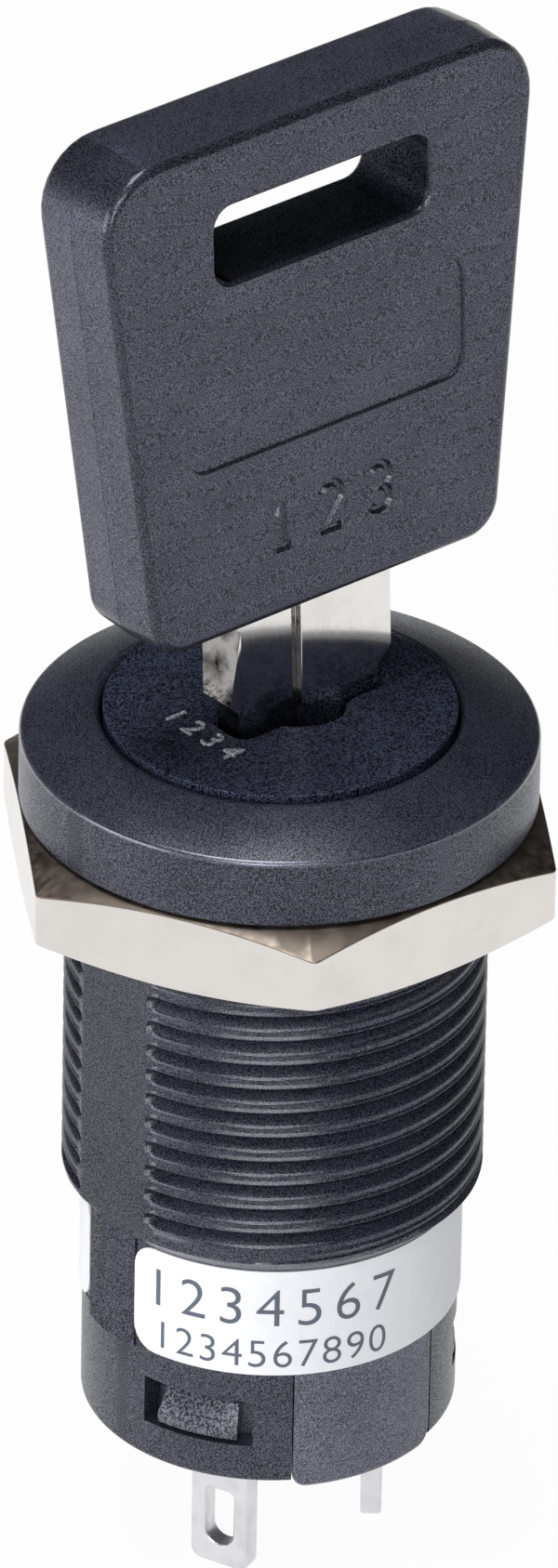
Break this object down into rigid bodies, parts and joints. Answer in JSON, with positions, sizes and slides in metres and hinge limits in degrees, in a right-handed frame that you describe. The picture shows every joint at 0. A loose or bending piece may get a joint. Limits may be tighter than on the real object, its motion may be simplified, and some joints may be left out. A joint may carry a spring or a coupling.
{
  "type": "selector key switch",
  "caption": "Panel-mounted key switch: flat key in a lock plug, round bezel, threaded bushing with hex nut, snap-in terminal base with solder lugs.",
  "frame": {"origin": "on the lock's axis at the panel seat, the underside of the bezel", "axes": "+Z out of the panel towards the key's grip, the key's plate in the XZ plane, its face towards -Y, the bushing's flat towards -X"},
  "size_m": [0.0222, 0.0198, 0.0612],
  "materials": {
    "black_plastic": "moulded, fine matt grain",
    "base_plastic": "moulded, fine matt grain",
    "rotor_plastic": "moulded, natural",
    "label_film": "satin film",
    "nickel_plate": "nickel plate, satin",
    "nickel_silver": "stamped and milled, bright",
    "tin_plate": "tin plate, satin",
    "brass": "stamped",
    "spring_steel": "bright",
    "silver": "fine silver, bright"
  },
  "bodies": {
    "body": {"housing": "black_plastic", "base": "base_plastic", "rating_label": "label_film", "terminal_common": "tin_plate", "terminal_first": "tin_plate", "terminal_second": "tin_plate", "contact_common": "silver", "contact_first": "silver", "contact_second": "silver"},
    "nut": {"panel_nut": "nickel_plate"},
    "plug": {"lock_plug": "black_plastic", "retaining_ring": "spring_steel", "contact_rotor": "rotor_plastic", "detent_spring": "spring_steel", "moving_contact": "brass", "contact_spring": "spring_steel", "wafer_spring_1": "spring_steel", "wafer_spring_2": "spring_steel", "wafer_spring_3": "spring_steel", "wafer_spring_4": "spring_steel"},
    "key": {"key_head": "black_plastic", "key_blade": "nickel_silver"},
    "ball": {"detent_ball": "spring_steel"},
    "wafer_1": {"wafer_1": "brass"},
    "wafer_2": {"wafer_2": "brass"},
    "wafer_3": {"wafer_3": "brass"},
    "wafer_4": {"wafer_4": "brass"}
  },
  "joints": [
    {"name": "key_turn", "type": "hinge", "parent": "body", "child": "plug", "pos_m": [0, 0, 0], "axis": [0, 0, -1], "range_deg": [0, 90]},
    {"name": "key_withdraw", "type": "slide", "parent": "plug", "child": "key", "axis": [0, 0.0538, 0.9986], "range_m": [0, 0.016]},
    {"name": "nut_run", "type": "slide", "parent": "body", "child": "nut", "axis": [0, 0, -1], "range_m": [0, 0.012]},
    {"name": "ball_press", "type": "slide", "parent": "plug", "child": "ball", "axis": [-0.866, -0.5, 0], "range_m": [0, 0.0004], "stiffness_N_per_m": 200, "springref_m": -0.0005, "deforming": ["detent_spring"]},
    {"name": "wafer_1_spring_out", "type": "slide", "parent": "plug", "child": "wafer_1", "axis": [1, 0, 0], "range_m": [0, 0.00071], "deforming": ["wafer_spring_1"]},
    {"name": "wafer_2_spring_out", "type": "slide", "parent": "plug", "child": "wafer_2", "axis": [1, 0, 0], "range_m": [0, 0.00071], "deforming": ["wafer_spring_2"]},
    {"name": "wafer_3_spring_out", "type": "slide", "parent": "plug", "child": "wafer_3", "axis": [1, 0, 0], "range_m": [0, 0.00071], "deforming": ["wafer_spring_3"]},
    {"name": "wafer_4_spring_out", "type": "slide", "parent": "plug", "child": "wafer_4", "axis": [1, 0, 0], "range_m": [0, 0.00071], "deforming": ["wafer_spring_4"]}
  ],
  "couplings": [
    {"joint": "wafer_1_spring_out", "follows": "key_withdraw", "ratio": 0.04375},
    {"joint": "wafer_2_spring_out", "follows": "key_withdraw", "ratio": 0.04375},
    {"joint": "wafer_3_spring_out", "follows": "key_withdraw", "ratio": 0.04375},
    {"joint": "wafer_4_spring_out", "follows": "key_withdraw", "ratio": 0.04375}
  ]
}
